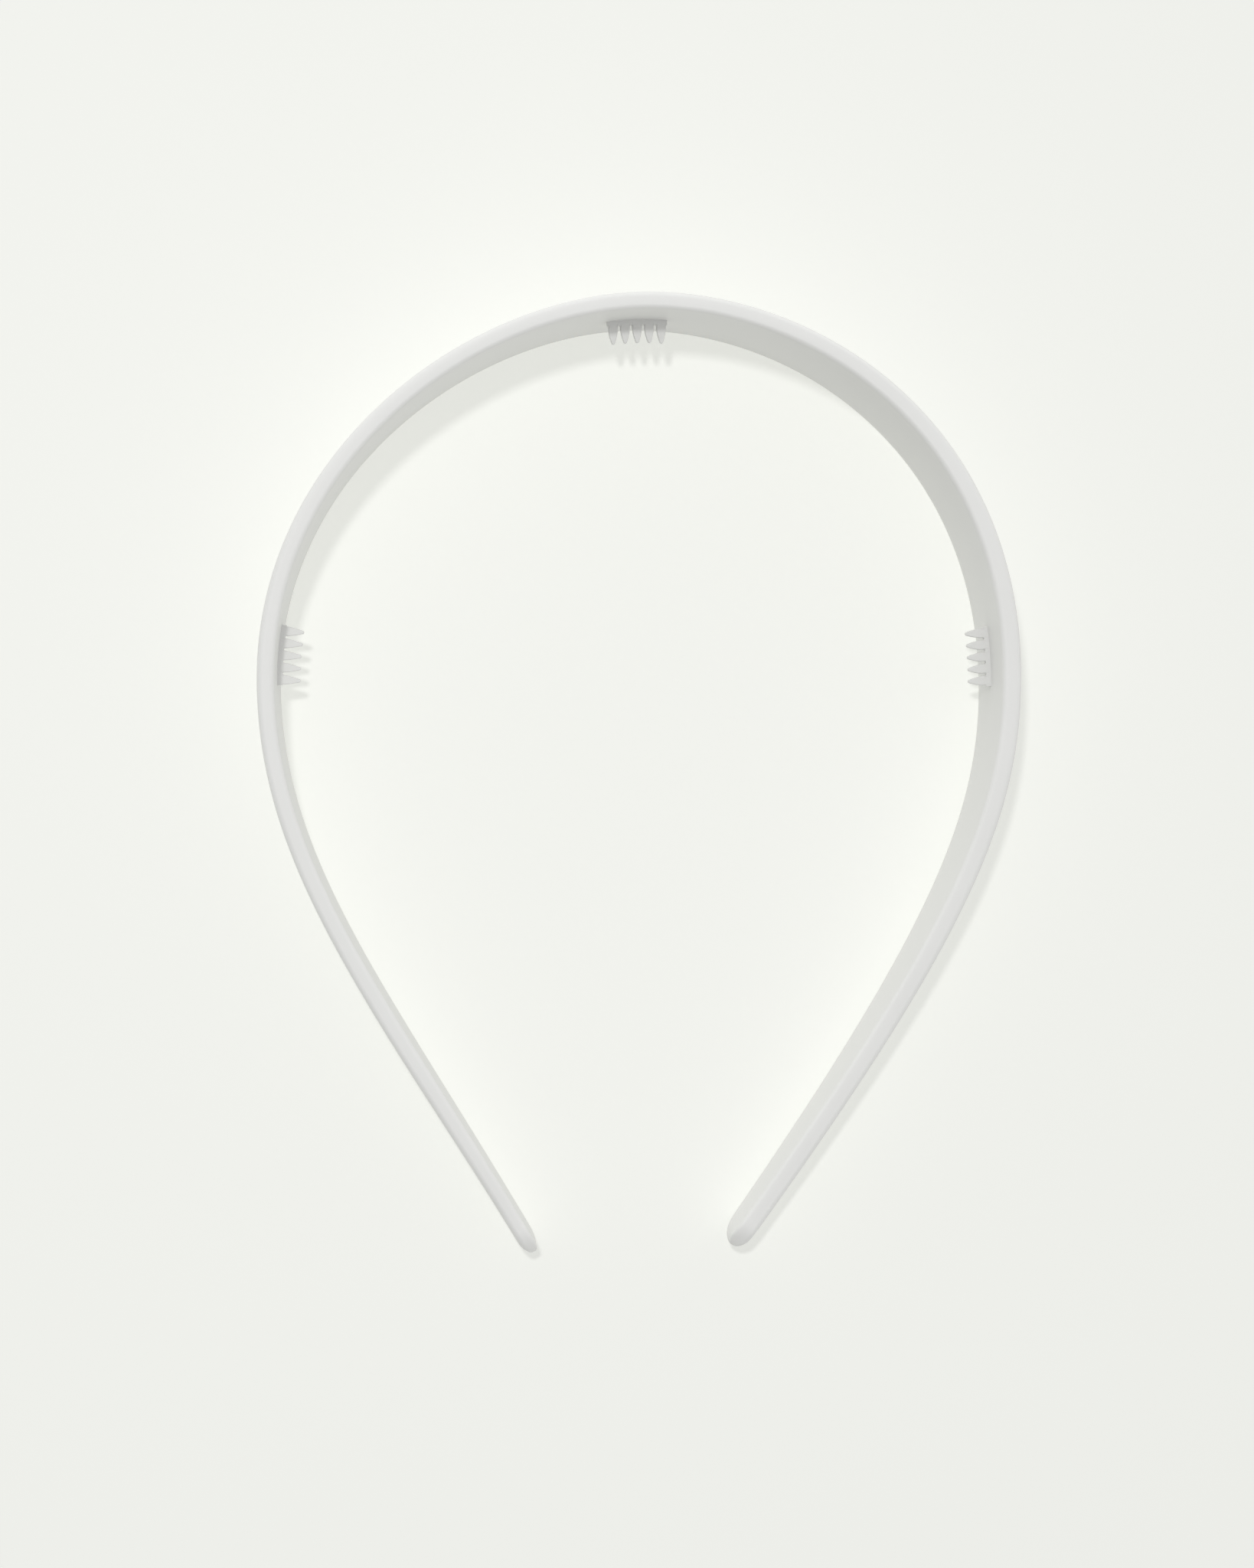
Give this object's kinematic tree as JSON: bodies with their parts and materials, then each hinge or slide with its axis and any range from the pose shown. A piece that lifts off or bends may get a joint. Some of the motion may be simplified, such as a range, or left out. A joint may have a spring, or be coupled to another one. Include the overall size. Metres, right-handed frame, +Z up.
{
  "type": "headband",
  "caption": "Wide tapering horseshoe headband of hard white plastic, lying on its edge, with small combs on its inner wall.",
  "frame": {"origin": "on the floor, in the middle of the footprint of the band as it lies on its lower edge", "axes": "+Y towards the crown of the arch, -Y towards the two tips, +X towards the right leg, +Z up from the floor"},
  "size_m": [0.1262, 0.1588, 0.0282],
  "materials": {
    "white_plastic": "matte white, plain and moulded in one colour"
  },
  "bodies": {
    "root": {"band": "white_plastic", "comb_crown": "white_plastic", "comb_left": "white_plastic", "comb_right": "white_plastic"}
  },
  "joints": []
}
